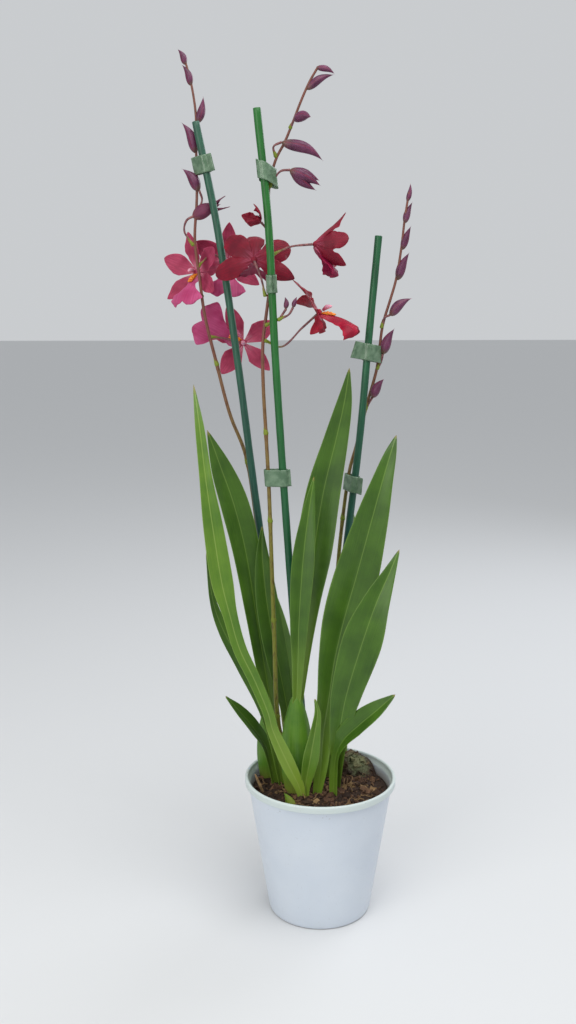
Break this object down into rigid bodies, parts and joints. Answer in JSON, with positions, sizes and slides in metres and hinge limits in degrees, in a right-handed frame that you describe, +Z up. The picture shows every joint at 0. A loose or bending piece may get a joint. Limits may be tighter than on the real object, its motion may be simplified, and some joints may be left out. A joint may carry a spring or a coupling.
{
  "type": "potted orchid",
  "caption": "Burrageara orchid in a round plastic pot of bark: strap leaves over pseudobulbs, flower stems tied to canes, crimson star-shaped blooms with broad lips, and pointed buds.",
  "frame": {"origin": "middle of the pot's flat underside", "axes": "+Z up along the pot's axis, +X to the right and +Y to the back, seen from the front of the plant"},
  "size_m": [0.1941, 0.1618, 0.6702],
  "materials": {
    "pot_plastic": "satin",
    "bark": "matte",
    "cane_green": "satin",
    "cane_dark_green": "satin",
    "tie_tape": "satin",
    "leaf": "satin",
    "young_leaf": "satin",
    "pseudobulb": "satin",
    "flower_stem": "satin",
    "petal": "matte",
    "crest": "matte",
    "column": "matte",
    "bud": "matte"
  },
  "bodies": {
    "root": {"pot": "pot_plastic", "cane_centre": "cane_green", "cane_right": "cane_dark_green", "cane_left": "cane_dark_green", "flower_stem_centre": "flower_stem", "flower_stem_right": "flower_stem", "flower_stem_left": "flower_stem", "tie_band_centre_low": "tie_tape", "tie_band_centre_middle": "tie_tape", "tie_band_centre_top": "tie_tape", "tie_band_right_low": "tie_tape", "tie_band_right_high": "tie_tape", "tie_band_left_top": "tie_tape", "pseudobulb_front": "pseudobulb", "pseudobulb_right": "pseudobulb", "pseudobulb_left": "pseudobulb", "leaf_centre_back": "leaf", "leaf_centre_front": "leaf", "leaf_tall_right": "leaf", "leaf_low_right": "leaf", "leaf_short_right": "leaf", "leaf_sheath_left": "young_leaf", "leaf_sheath_right": "young_leaf", "leaf_low_left": "leaf", "leaf_short_left": "leaf", "leaf_tall_left": "leaf", "leaf_middle_left": "leaf", "leaf_back_right": "leaf", "leaf_back_left": "leaf", "new_shoot": "young_leaf", "bloom_centre_left": "petal", "crest_centre_left": "crest", "column_centre_left": "column", "bloom_centre_right": "petal", "crest_centre_right": "crest", "column_centre_right": "column", "bloom_centre_low": "petal", "crest_centre_low": "crest", "column_centre_low": "column", "bloom_left_outer": "petal", "crest_left_outer": "crest", "column_left_outer": "column", "bloom_left_upper": "petal", "crest_left_upper": "crest", "column_left_upper": "column", "bloom_left_lower": "petal", "crest_left_lower": "crest", "column_left_lower": "column", "opening_bud_centre": "bud", "opening_bud_left": "bud", "bark_mix": "bark"}
  },
  "joints": []
}
